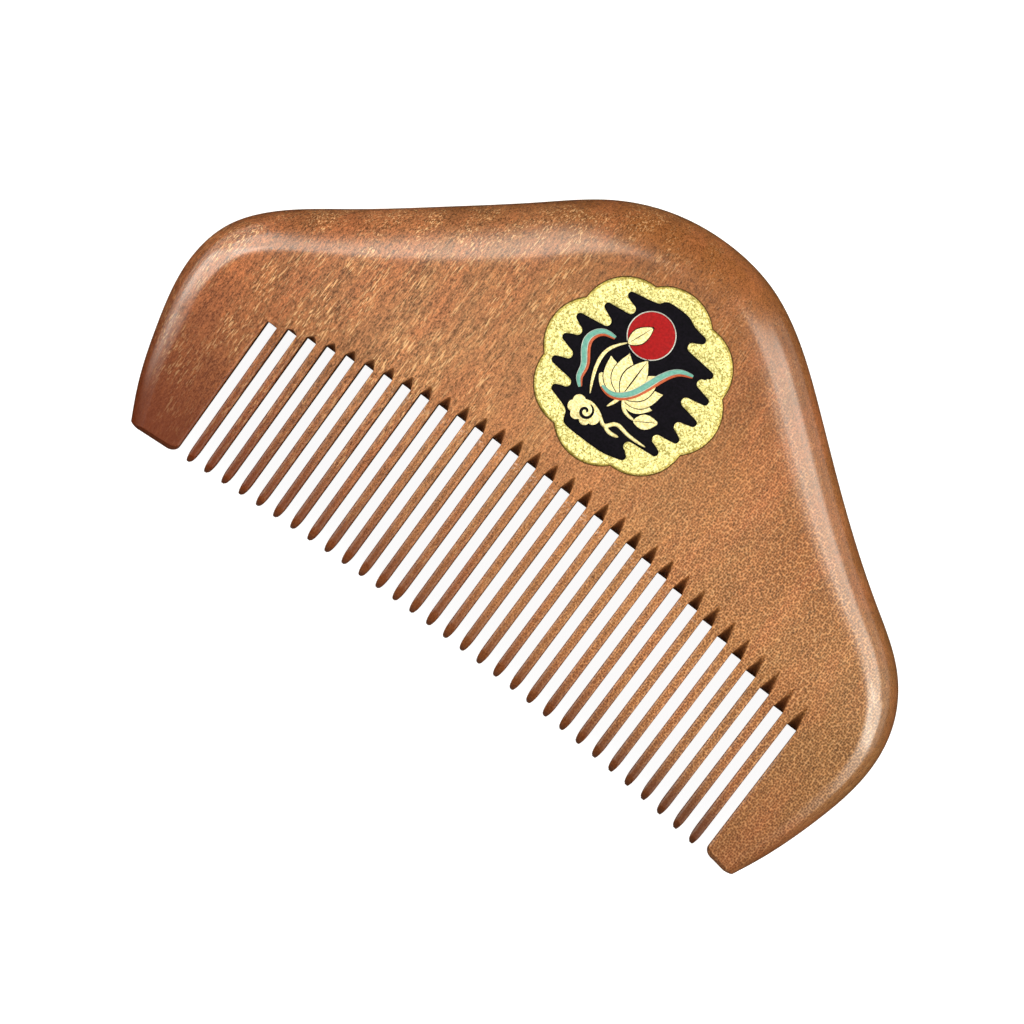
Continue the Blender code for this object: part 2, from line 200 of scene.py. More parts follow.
# ---------- mesh helpers ----------

def new_object(name, bm, materials=(), smooth=None):
    """Turns a bmesh in millimetres into an object in metres, with outward faces."""
    bmesh.ops.recalc_face_normals(bm, faces=bm.faces)
    bmesh.ops.scale(bm, vec=(MM, MM, MM), verts=bm.verts)
    mesh = bpy.data.meshes.new(name)
    bm.to_mesh(mesh)
    bm.free()
    obj = bpy.data.objects.new(name, mesh)
    bpy.context.scene.collection.objects.link(obj)
    for material in materials:
        mesh.materials.append(material)
    if smooth is not None:
        mesh.shade_smooth()
        mesh.set_sharp_from_angle(angle=math.radians(smooth))
    return obj


def loft(bm, layers, closed_layers=True, caps=True):
    """Skins a stack of layers of points; each layer is a closed loop with the same count."""
    rings = [[bm.verts.new(p) for p in layer] for layer in layers]
    count = len(rings[0])
    last = count if closed_layers else count - 1
    for below, above in zip(rings, rings[1:]):
        for j in range(last):
            k = (j + 1) % count
            bm.faces.new((below[j], below[k], above[k], above[j]))
    if caps:
        bm.faces.new(rings[0])
        bm.faces.new(rings[-1])
    return rings


def apply_cuts(obj, cutters):
    """Subtracts the cutters for good, then deletes them."""
    for cutter in cutters:
        modifier = obj.modifiers.new("cut", "BOOLEAN")
        modifier.operation = "DIFFERENCE"
        modifier.solver = "EXACT"
        modifier.material_mode = "TRANSFER"
        modifier.object = cutter
    bpy.context.view_layer.update()
    graph = bpy.context.evaluated_depsgraph_get()
    mesh = bpy.data.meshes.new_from_object(obj.evaluated_get(graph))
    obj.modifiers.clear()
    obj.data = mesh
    for cutter in cutters:
        bpy.data.objects.remove(cutter)


# ---------- board ----------

def thickness_ratio(y):
    """Thickness at a height above the feet, as a share of the full one, with a soft start to the taper."""
    slope = (1 - FOOT_RATIO) / TAPER_START
    if y >= TAPER_START + TAPER_BLEND:
        return 1.0
    if y <= TAPER_START - TAPER_BLEND:
        return 1 - slope * (TAPER_START - y)
    return 1 - slope * (TAPER_START + TAPER_BLEND - y) ** 2 / (4 * TAPER_BLEND)


def edge_width(x, y):
    """Width of the rounded edge: broad along the back, narrower at the ends and the feet."""
    share = smoothstep(EDGE_LOW_Y, EDGE_HIGH_Y, y)
    width = EDGE_END + (EDGE_BACK - EDGE_END) * share
    side = min(max(x / EDGE_BIAS_REACH, -1.0), 1.0)
    return width * (1 - EDGE_BIAS * side) * min(1.0, thickness_ratio(y) / thickness_ratio(EDGE_LOW_Y))


def root_y(x):
    return ROOT_TOP - ROOT_CURVATURE * (x - ROOT_TOP_X) ** 2


def tip_y(x):
    return TIP_TOP - TIP_CURVATURE * x ** 2


def slot_place(i):
    """Place of a slot at mid height, and how much it leans; the pitch grows slightly to the right."""
    share = 2 * i / (SLOTS - 1) - 1
    x = SLOT_MIDDLE + share * (SLOTS - 1) * PITCH / 2 - SLOT_BOW * (1 - share ** 2)
    return x, SLOT_LEAN + SLOT_FAN * share


def notch_length(x):
    first = slot_place(0)[0]
    return NOTCH_MIDDLE + NOTCH_SLOPE * x - NOTCH_LOSS * math.exp(-max(x - first, 0.0) / NOTCH_FADE)


def board_blank(material):
    """The board before sawing."""
    line = spline(OUTLINE, OUTLINE_SAMPLES)
    inward = side_normals(line)
    profile = []
    for step in range(-EDGE_STEPS, EDGE_STEPS + 1):
        angle = math.pi / 2 * step / EDGE_STEPS
        profile.append((1 - math.cos(angle), 0.0, math.sin(angle)))
    profile = [(1.0, EDGE_FLAT_RING, -1.0)] + profile + [(1.0, EDGE_FLAT_RING, 1.0)]
    bm = bmesh.new()
    layers = []
    for share, extra, height in profile:
        layer = []
        for i, (point, normal) in enumerate(zip(line, inward)):
            x, y = point + normal * (edge_width(*point) * share + extra)
            if i in (0, OUTLINE_SAMPLES - 1):
                y = BLANK_FOOT
            layer.append((x, y, HALF_THICKNESS * height))
        layers.append(layer)
    rings = loft(bm, layers, closed_layers=False)
    bm.faces.new([ring[0] for ring in rings] + [ring[-1] for ring in reversed(rings)])
    last_cut = TAPER_START + TAPER_BLEND + TAPER_CUT_STEP / 2
    for y in np.arange(TAPER_START - TAPER_BLEND, last_cut, TAPER_CUT_STEP):
        everything = bm.verts[:] + bm.edges[:] + bm.faces[:]
        bmesh.ops.bisect_plane(bm, geom=everything, plane_co=(0, y, 0), plane_no=(0, 1, 0))
    for vert in bm.verts:
        vert.co.z = HALF_THICKNESS + vert.co.z * thickness_ratio(vert.co.y)
        vert.co.y -= HEIGHT / 2
    return new_object("comb_board", bm, [material])


def slot_layer(x, lean, depth, share, sign, left_ends, right_ends):
    """One level of a saw slot: a depth below the face, and then a share of the way to the middle."""
    root = root_y(x)
    tip = tip_y(x)
    half = SLOT_WIDTH / 2
    wide = (PITCH - TIP_WIDTH) / 2

    def level(y):
        height = HALF_THICKNESS * thickness_ratio(y)
        return (height - depth) * (1 - share)

    rounding = 0.0
    if depth < TOOTH_ROUND:
        inside = min(TOOTH_ROUND - max(depth, 0.0), TOOTH_ROUND)
        rounding = TOOTH_ROUND - math.sqrt(TOOTH_ROUND ** 2 - inside ** 2)
    stations = [BLANK_FOOT - CUT_MARGIN, tip - BELOW_TIP]
    stations += [tip + TIP_LENGTH * s for s in TIP_STATIONS]
    stations += [root - ROUND_FADE * s for s in ROOT_STATIONS]
    right, left = [], []
    for y in stations:
        above = min(max((y - tip) / TIP_LENGTH, 0.0), 1.0)
        narrowing = 1 - math.sqrt(1 - (1 - above) ** 2)
        fade = smoothstep(0, ROUND_FADE, root - y) * (1 - ROUND_AT_ROOT) + ROUND_AT_ROOT
        z = HALF_THICKNESS + sign * level(y)
        for ends, side, points in ((right_ends, 1, right), (left_ends, -1, left)):
            flare = (wide - half) * narrowing if ends else 0.0
            offset = min(half + flare + rounding * fade, wide)
            points.append((x + side * offset, y, z))
    z = HALF_THICKNESS + sign * level(root)
    reach = level(root) / (HALF_THICKNESS * thickness_ratio(root))
    run_out = notch_length(x) * reach ** NOTCH_POWER
    for q in NOTCH_STATIONS:
        offset = (half + rounding * ROUND_AT_ROOT) * (1 - q) ** NOTCH_SIDE_POWER
        right.append((x + offset, root + run_out * q, z))
        left.append((x - offset, root + run_out * q, z))
    apex = (x, root + run_out, z)
    loop = right + [apex] + left[::-1]
    return [(px + lean * (py - SLOT_PIVOT), py - HEIGHT / 2, pz) for px, py, pz in loop]


def slot_cutters(material):
    """Every saw slot: rounded over at the faces, flared at the tips, running out in a point above."""
    bm = bmesh.new()
    for i in range(SLOTS):
        x, lean = slot_place(i)
        ends = (i > 0, i < SLOTS - 1)
        depths = [(depth, 0.0) for depth in (-CUT_MARGIN, *ROUND_DEPTHS)]
        depths += [(TOOTH_ROUND, share) for share in INNER_SHARES]
        layers = [slot_layer(x, lean, *depth, -1, *ends) for depth in depths]
        layers.append(slot_layer(x, lean, TOOTH_ROUND, 1.0, 1, *ends))
        layers += [slot_layer(x, lean, *depth, 1, *ends) for depth in depths[::-1]]
        loft(bm, layers)
    return new_object("slots", bm, [material])


def quarter(x, y, across, down):
    """Rounded corner that turns from beside a point to below it."""
    angles = np.linspace(0, math.pi / 2, CORNER_STEPS + 1)
    return [(x + across * math.cos(a), y - down * math.sin(a)) for a in angles]


def foot_cutter(material):
    """Shapes the line of tips and the feet of the guards, rounding them through the thickness."""
    first, last = [
        x - lean * SLOT_PIVOT + side * SLOT_WIDTH / 2
        for (x, lean), side in ((slot_place(0), -1), (slot_place(SLOTS - 1), 1))
    ]
    turn_down = GUARD_CORNER - GUARD_RISE
    tip_line = np.linspace(first + TIP_LINE_INSET, last - TIP_LINE_INSET, TIP_LINE_POINTS)
    outline = [(-FAR, 3 * FOOT_CORNER)]
    outline += quarter(FOOT_LEFT + FOOT_TURN, FOOT_CORNER, -FOOT_REACH, FOOT_CORNER)
    outline += quarter(first - GUARD_CORNER, GUARD_CORNER, GUARD_CORNER, turn_down)[::-1]
    outline += [(x, tip_y(x)) for x in tip_line]
    outline += quarter(last + GUARD_CORNER, GUARD_CORNER, -GUARD_CORNER, turn_down)
    outline += quarter(FOOT_RIGHT - FOOT_TURN, FOOT_CORNER, FOOT_REACH, FOOT_CORNER)[::-1]
    outline += [(FAR, 3 * FOOT_CORNER), (FAR, -FAR), (-FAR, -FAR)]
    bm = bmesh.new()
    layers = []
    for step in range(-NOSE_STEPS, NOSE_STEPS + 1):
        share = step / NOSE_STEPS
        nose = 1 - math.sqrt(1 - share ** 2)
        z = HALF_THICKNESS + NOSE_HALF * share
        layer = []
        for x, y in outline:
            depth = TIP_NOSE if first < x < last else FOOT_NOSE
            layer.append((x, y + nose * depth - HEIGHT / 2, z))
        layers.append(layer)
    beyond = [(x, y + TIP_NOSE + FOOT_CUT_HEIGHT - HEIGHT / 2) for x, y in outline]
    low = [(x, y, HALF_THICKNESS - NOSE_HALF - FOOT_CUT_LIP) for x, y in beyond]
    high = [(x, y, HALF_THICKNESS + NOSE_HALF + FOOT_CUT_LIP) for x, y in beyond]
    loft(bm, [low] + layers + [high])
    return new_object("feet", bm, [material])


def medallion_outline(grow):
    """Eight-lobed rim about the medallion's centre, each lobe a circular arc."""
    points = []
    total = LOBES * LOBE_STEPS
    for i in range(total):
        angle = 2 * math.pi * i / total
        off_axis = (angle + math.pi / LOBES) % (2 * math.pi / LOBES) - math.pi / LOBES
        reach = LOBE_RADIUS ** 2 - (LOBE_CENTRE * math.sin(off_axis)) ** 2
        radius = LOBE_CENTRE * math.cos(off_axis) + math.sqrt(reach) + grow
        points.append((radius * math.cos(angle), radius * math.sin(angle)))
    return points


def placed(points, z):
    """Points about the medallion's centre, moved onto the comb at a height."""
    return [(x, y + MEDALLION_Y - HEIGHT / 2, z) for x, y in points]


def make_board(face, sawn):
    board = board_blank(face)
    bm = bmesh.new()
    pocket = medallion_outline(POCKET_CLEARANCE)
    loft(bm, [placed(pocket, FRONT - POCKET_DEPTH), placed(pocket, TOP + 1)])
    pocket_cutter = new_object("pocket", bm, [sawn])
    apply_cuts(board, [pocket_cutter, foot_cutter(sawn), slot_cutters(sawn)])
    board.data.shade_smooth()
    board.data.set_sharp_from_angle(angle=math.radians(BOARD_SHARP_ANGLE))
    weighted = board.modifiers.new("even_shading", "WEIGHTED_NORMAL")
    weighted.keep_sharp = True
    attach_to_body(board, "root")
    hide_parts("comb_body")
    return board


# ---------- medallion ----------

# Black field: (x of the tip, y of the tip, x of the bay below it) for each finger, going down
LEFT_FINGERS = (
    (-6.6, 7.8, -4.6), (-8.1, 5.0, -6.1), (-10.1, 1.9, -8.3),
    (-10.0, -1.1, -7.5), (-9.4, -4.1, -5.6), (-7.3, -6.9, -4.1),
)
RIGHT_FINGERS = (
    (4.6, 8.6, 3.1), (7.9, 5.7, 6.7), (9.4, 2.8, 6.5),
    (9.8, -0.2, 7.6), (9.3, -3.1, 6.4), (8.2, -5.9, 4.1), (5.3, -8.7, 3.4),
)
FIELD_CROWN = ((-2.9, 8.9), (-2.6, 9.3), (-2.3, 9.7), (-1.6, 10.0), (1.1, 10.0), (1.9, 9.6), (2.6, 9.3))
FIELD_BASE = ((3.6, -9.6), (2.2, -9.9), (-3.0, -9.9), (-3.7, -9.5), (-3.9, -8.8), (-4.3, -8.1))
FINGER_TIP = 0.5
FINGER_BAY = 0.62
FINGER_TURN = 78
FINGER_STEPS = 9
CORNER_ROUNDS = 2
CORNER_CUT = 0.25

# Sun and puffs of the cloud are (x, y, radius), petals (lean in degrees, length, half width);
# the bud and the leaf have the foot of the petal before that
SUN = (-1.2, 5.3, 3.0)
SUN_STEPS = 119
SUN_LAST_ANGLE = 357
SUN_WIRE = 0.075
BLOSSOM_BASE = (0.3, -3.0)
PETALS = (
    (-76, 4.2, 1.0), (76, 4.2, 1.0), (-50, 5.2, 1.35), (50, 5.2, 1.35),
    (-25, 5.5, 1.45), (25, 5.5, 1.45), (0, 5.7, 1.5),
)
PETAL_SAMPLES = 22
PETAL_BEND = 0.22
PETAL_FULLNESS = 0.9
PETAL_LEAST = 0.03
BUD = ((-3.0, 2.7), 22, 3.9, 0.95)
LEAF = ((3.2, -4.5), 58, 3.3, 0.95)
STALKS = (
    ((0.3, -2.2), (0.1, -3.7), (-0.4, -4.9)),
    ((-2.9, 3.0), (-4.5, 0.6), (-4.3, -2.0), (-3.0, -4.9)),
    ((0.4, -2.4), (1.6, -4.0), (3.6, -4.3)),
)
STALK_WIDTH = 0.24
STALK_SAMPLES = 26
SCROLL_EYE = (-2.1, -7.0)
SCROLL_TURNS = 1.25
SCROLL_EYE_RADIUS = 0.12
SCROLL_RADIUS = 1.05
SCROLL_WIDTH = 0.21
SCROLL_SAMPLES = 60
PUFFS = (
    (-3.7, -7.3, 0.75), (-3.5, -6.4, 0.8), (-0.9, -7.1, 0.85),
    (-2.9, -7.9, 0.7), (-1.6, -7.9, 0.65), (-2.2, -6.9, 1.35),
)
PUFF_STEPS = 35
PUFF_LAST_ANGLE = 350
TRAIL_WIDTH = 0.26
TRAIL_SAMPLES = 48
TRAILS = (
    ((-2.1, -5.6), (-0.3, -6.4), (0.8, -7.0), (1.7, -6.1), (3.2, -6.1), (4.8, -6.2), (6.4, -6.1)),
    ((0.5, -6.8), (1.7, -7.3), (3.0, -7.1)),
)
RIGHT_BAND = ((5.9, 4.4), (4.3, 3.9), (2.9, 2.2), (1.9, -0.2), (0.6, -2.4), (-0.9, -3.3), (-2.4, -3.2))
LEFT_BAND = ((-4.6, 2.5), (-6.3, 2.2), (-7.3, 0.5), (-6.6, -1.3), (-5.7, -2.7), (-5.4, -4.0), (-4.5, -5.0))
BAND_WIDTH = 0.36
BAND_EDGE = 0.06
BAND_END = 0.35
BAND_SWELL = 0.6
BAND_SAMPLES = 70
LINING_WIDTH = 0.2
LINING_OFFSET = 1.1 * LINING_WIDTH

# Rim of the plate, the lip round its recess as (share of its width, depth), the rounding of
# the flat pieces, and the dark contour round the petals
PLATE_RIM = 0.3
RIM_DROP = 0.2
RIM_ANGLES = (20, 40, 60, 75, 90)
FIELD_LIP = 0.07
LIP_PROFILE = ((1.0, 0.0), (0.6, 0.012), (0.2, 0.04), (0.0, 0.1))
FIELD_INSET = 0.01
PILLOW_LIP = 0.06
PILLOW_ANGLES = (25, 50, 70, 90)
CONTOUR = 0.1
CONTOUR_DROP = 0.02

# Heights of the medallion's surfaces
PLATE_BOTTOM = FRONT - POCKET_DEPTH + 0.2
BLACK_TOP = TOP - 0.2
BLACK_BASE = TOP - 0.3
WELL_FLOOR = BLACK_TOP - 0.12
MOTIF_BASE = BLACK_TOP - 0.08
PETAL_STEP = 0.024
PETAL_TOP = TOP - 0.045
BUD_TOP = TOP - 0.07
STALK_TOP = TOP - 0.09
PUFF_TOP = TOP - 0.06
PUFF_STEP = 0.004
PUFF_SHOULDER = 0.02
PUFF_ROUNDING = 0.03
SCROLL_TOP = TOP - 0.03
TRAIL_TOP = TOP - 0.06
BAND_TOP = TOP - 0.018
BAND_WIRE_TOP = TOP - 0.004
LINING_TOP = TOP - 0.025
SUN_BASE = BLACK_TOP - 0.06
SUN_TOP = BLACK_TOP + 0.05
SUN_WIRE_BASE = BLACK_TOP - 0.05
SUN_WIRE_TOP = BLACK_TOP + 0.08

# A bar gets lower where it narrows: the share of its widest place over which its height fades,
# how far the fade has come at no width, and the least share of its height
NARROW_SHARE = 0.35
NARROW_START = 0.15
LEAST_RISE = 0.6

# Shapes of a bar across its width, as shares of half the width and of the height
DOME = (
    (-1, 0), (-0.96, 0.5), (-0.82, 0.78), (-0.5, 0.95), (0, 1),
    (0.5, 0.95), (0.82, 0.78), (0.96, 0.5), (1, 0),
)
FLAT = ((-1, 0), (-1, 0.9), (-0.9, 1), (0.9, 1), (1, 0.9), (1, 0))
VEINED = (
    (-1, 0), (-0.99, 0.88), (-0.93, 0.95), (-0.6, 0.99), (-0.12, 1), (-0.05, 0.90), (0.05, 0.90),
    (0.12, 1), (0.6, 0.99), (0.93, 0.95), (0.99, 0.88), (1, 0),
)


def finger_edge(fingers):
    """The ragged right side of the field, going down: rounded finger tips and wider bays in turn."""
    points = []
    for i, (tip, y, bay) in enumerate(fingers):
        points += arc(tip - FINGER_TIP, y, FINGER_TIP, FINGER_TURN, -FINGER_TURN, FINGER_STEPS)
        if i + 1 < len(fingers):
            middle = (y + fingers[i + 1][1]) / 2
            points += arc(bay + FINGER_BAY, middle, FINGER_BAY, 90, 270, FINGER_STEPS)
    return points


def field_outline():
    right = finger_edge(RIGHT_FINGERS)
    left = [(-x, y) for x, y in finger_edge([(-tip, y, -bay) for tip, y, bay in LEFT_FINGERS])]
    return list(FIELD_CROWN) + right + list(FIELD_BASE) + left[::-1]


def rounded(points):
    """Closed outline with its corners cut into soft curves."""
    points = [np.array(p) for p in points]
    for _ in range(CORNER_ROUNDS):
        cut = []
        for here, there in zip(points, points[1:] + points[:1]):
            cut.append(here * (1 - CORNER_CUT) + there * CORNER_CUT)
            cut.append(here * CORNER_CUT + there * (1 - CORNER_CUT))
        points = cut
    return points


def inset_loop(points, amount):
    """Closed outline moved inwards."""
    line = np.array(points)
    ahead = np.roll(line, -1, axis=0) - np.roll(line, 1, axis=0)
    ahead /= np.maximum(np.linalg.norm(ahead, axis=1), 1e-9)[:, None]
    area = np.sum(line[:, 0] * np.roll(line[:, 1], -1) - np.roll(line[:, 0], -1) * line[:, 1])
    side = 1 if area > 0 else -1
    return line + side * amount * np.stack([-ahead[:, 1], ahead[:, 0]], axis=1)


def attach(piece, node):
    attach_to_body(piece, "root")
    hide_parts(node)
    return piece


def make_plate(gold, edge):
    """Gold plate: darker rounded rim, flat face, and a recess with a rounded lip for the black field."""
    field = rounded(field_outline())
    bm = bmesh.new()
    outer = [(0.0, PLATE_BOTTOM), (0.0, TOP - RIM_DROP)]
    for a in np.radians(RIM_ANGLES):
        outer.append((PLATE_RIM * (1 - math.cos(a)), TOP - RIM_DROP + RIM_DROP * math.sin(a)))
    rings = loft(bm, [placed(medallion_outline(-inset), z) for inset, z in outer], caps=False)
    rim_faces = len(bm.faces)
    bm.faces.new(rings[0])
    inner = [(-FIELD_LIP * share, TOP - depth) for share, depth in LIP_PROFILE]
    inner.append((0.0, WELL_FLOOR))
    wells = loft(bm, [placed(inset_loop(field, inset), z) for inset, z in inner], caps=False)
    bm.faces.new(wells[-1])
    bm.edges.ensure_lookup_table()
    border = []
    for ring in (rings[-1], wells[0]):
        for here, there in zip(ring, ring[1:] + ring[:1]):
            border.append(bm.edges.get((here, there)))
    bmesh.ops.triangle_fill(bm, edges=border, use_beauty=True)
    bm.faces.ensure_lookup_table()
    for face in bm.faces[:rim_faces]:
        face.material_index = 1
    plate = new_object("medallion_gold", bm, [gold, edge], smooth=35)
    return attach(plate, "medallion_plate")


def pillow(name, loop, base, top, material):
    """A flat-topped piece with rounded upper edges."""
    bm = bmesh.new()
    shoulder = top - PILLOW_LIP
    layers = [placed(loop, base), placed(loop, shoulder)]
    for a in np.radians(PILLOW_ANGLES):
        smaller = inset_loop(loop, PILLOW_LIP * (1 - math.cos(a)))
        layers.append(placed(smaller, shoulder + PILLOW_LIP * math.sin(a)))
    loft(bm, layers)
    return new_object(name, bm, [material], smooth=35)


def ridge(bm, line, halves, base, top, section=DOME, material=0, closed=False):
    """Adds a raised bar that follows a line: half its width at each point, and its shape across."""
    line = np.array(line)
    normals = side_normals(line)
    if closed:
        ahead = np.roll(line, -1, axis=0) - np.roll(line, 1, axis=0)
        ahead /= np.linalg.norm(ahead, axis=1)[:, None]
        normals = np.stack([ahead[:, 1], -ahead[:, 0]], axis=1)
    widest = max(halves)
    layers = []
    for point, normal, half in zip(line, normals, halves):
        fade = min(1.0, half / (NARROW_SHARE * widest) + NARROW_START)
        rise = (top - base) * (LEAST_RISE + (1 - LEAST_RISE) * fade)
        layer = []
        for across, up in section:
            x, y = point + normal * (across * half)
            layer.append((x, y + MEDALLION_Y - HEIGHT / 2, base + rise * up))
        layers.append(layer)
    first = len(bm.faces)
    if closed:
        layers.append(layers[0])
    loft(bm, layers, caps=not closed)
    if closed:
        bmesh.ops.remove_doubles(bm, verts=bm.verts, dist=1e-6)
    bm.faces.ensure_lookup_table()
    for face in bm.faces[first:]:
        face.material_index = material


def petal_line(base, lean, length, bend):
    """Centre line of a petal: it leans from straight up by an angle in degrees, and may bend."""
    turn = math.radians(lean)
    points = []
    for share in np.linspace(0, 1, PETAL_SAMPLES):
        off = bend * math.sin(math.pi * share)
        along = length * share
        x = base[0] + along * math.sin(turn) + off * math.cos(turn)
        y = base[1] + along * math.cos(turn) - off * math.sin(turn)
        points.append((x, y))
    return np.array(points)


def petal_halves(half_width, grow=0.0):
    share = np.linspace(0, 1, PETAL_SAMPLES)
    swell = np.sin(np.pi * share ** PETAL_FULLNESS)
    return [max(half_width * s, 0.0) + grow for s in np.maximum(swell, PETAL_LEAST)]


def make_blossom(relief, contour):
    """Lotus blossom, bud and leaf, each on a dark contour, with the front petals highest."""
    bm = bmesh.new()
    shapes = [(*BUD, BUD_TOP, 0.0), (*LEAF, BUD_TOP, 0.0)]
    lowest = PETAL_TOP - PETAL_STEP * (len(PETALS) - 1)
    for i, (lean, length, half_width) in enumerate(PETALS):
        bend = PETAL_BEND * float(np.sign(lean))
        shapes.append((BLOSSOM_BASE, lean, length, half_width, lowest + PETAL_STEP * i, bend))
    for base, lean, length, half_width, level, bend in shapes:
        line = petal_line(base, lean, length, bend)
        dark = petal_halves(half_width, grow=CONTOUR)
        ridge(bm, line, dark, MOTIF_BASE, level - CONTOUR_DROP, FLAT, material=1)
        ridge(bm, line, petal_halves(half_width), MOTIF_BASE, level, VEINED)
    blossom = new_object("blossom_relief", bm, [relief, contour], smooth=40)
    return attach(blossom, "medallion_plate")


def tapered(samples, width, power=0.45, least=0.12):
    share = np.linspace(0, 1, samples)
    return [width * max(math.sin(math.pi * s) ** power if 0 < s < 1 else 0.0, least) for s in share]


def make_lines(relief, contour):
    """Stalks, and the cloud with its dark scroll and its trails."""
    bm = bmesh.new()
    for stalk in STALKS:
        width = tapered(STALK_SAMPLES, STALK_WIDTH)
        ridge(bm, spline(stalk, STALK_SAMPLES), width, MOTIF_BASE, STALK_TOP)
    eye_x, eye_y = SCROLL_EYE
    spiral = []
    for share in np.linspace(0, 1, SCROLL_SAMPLES):
        angle = 2 * math.pi * SCROLL_TURNS * share
        radius = SCROLL_EYE_RADIUS + (SCROLL_RADIUS - SCROLL_EYE_RADIUS) * share
        spiral.append((eye_x + radius * math.cos(angle), eye_y + radius * math.sin(angle)))
    for i, (x, y, radius) in enumerate(PUFFS):
        level = PUFF_TOP + PUFF_STEP * i
        steps = (0, PUFF_LAST_ANGLE, PUFF_STEPS)
        side = arc(x, y, radius, *steps)
        face = arc(x, y, radius - PUFF_ROUNDING, *steps)
        loft(bm, [placed(side, MOTIF_BASE), placed(side, level - PUFF_SHOULDER), placed(face, level)])
    width = tapered(SCROLL_SAMPLES, SCROLL_WIDTH, 0.3, 0.35)
    ridge(bm, spiral, width, MOTIF_BASE, SCROLL_TOP, FLAT, material=1)
    for trail in TRAILS:
        width = tapered(TRAIL_SAMPLES, TRAIL_WIDTH, 0.35)
        ridge(bm, spline(trail, TRAIL_SAMPLES), width, MOTIF_BASE, TRAIL_TOP)
    lines = new_object("scroll_relief", bm, [relief, contour], smooth=40)
    return attach(lines, "medallion_plate")


def make_sun(red, silver):
    circle = arc(*SUN, 0, SUN_LAST_ANGLE, SUN_STEPS)
    disc = pillow("sun_disc", circle, SUN_BASE, SUN_TOP, red)
    attach(disc, "sun_enamel")
    bm = bmesh.new()
    ridge(bm, circle, [SUN_WIRE] * len(circle), SUN_WIRE_BASE, SUN_WIRE_TOP, closed=True)
    ring = new_object("sun_wire", bm, [silver], smooth=50)
    attach(ring, "sun_enamel")


def make_bands(teal, orange, silver):
    """Ribbons: enamel between two wires, with a narrow lining along one side."""
    for name, points in (("right", RIGHT_BAND), ("left", LEFT_BAND)):
        line = spline(points, BAND_SAMPLES)
        bulge = np.sin(np.pi * np.linspace(0, 1, BAND_SAMPLES)) ** BAND_SWELL
        swell = BAND_END + (1 - BAND_END) * bulge
        bm = bmesh.new()
        half = BAND_WIDTH * swell
        ridge(bm, line, list(half), MOTIF_BASE, BAND_TOP, FLAT)
        normals = side_normals(line)
        for edge in (-1, 1):
            moved = line + normals * (edge * half)[:, None]
            ridge(bm, moved, [BAND_EDGE * s for s in swell], MOTIF_BASE, BAND_WIRE_TOP, material=1)
        enamel = new_object("ribbon_" + name, bm, [teal, silver], smooth=45)
        attach(enamel, "ribbon_enamel_" + name)
        bm = bmesh.new()
        moved = line - normals * (half + LINING_OFFSET * swell)[:, None]
        ridge(bm, moved, [LINING_WIDTH * s for s in swell], MOTIF_BASE, LINING_TOP)
        lining = new_object("lining_" + name, bm, [orange], smooth=45)
        attach(lining, "ribbon_lining_" + name)


def make_medallion(colours):
    make_plate(colours["gold"], colours["rim"])
    outline = inset_loop(rounded(field_outline()), FIELD_INSET)
    field = pillow("black_field", outline, BLACK_BASE, BLACK_TOP, colours["black"])
    attach(field, "field_enamel")
    make_blossom(colours["relief"], colours["black"])
    make_lines(colours["relief"], colours["black"])
    make_sun(colours["red"], colours["silver"])
    make_bands(colours["teal"], colours["orange"], colours["silver"])


# ---------- materials ----------

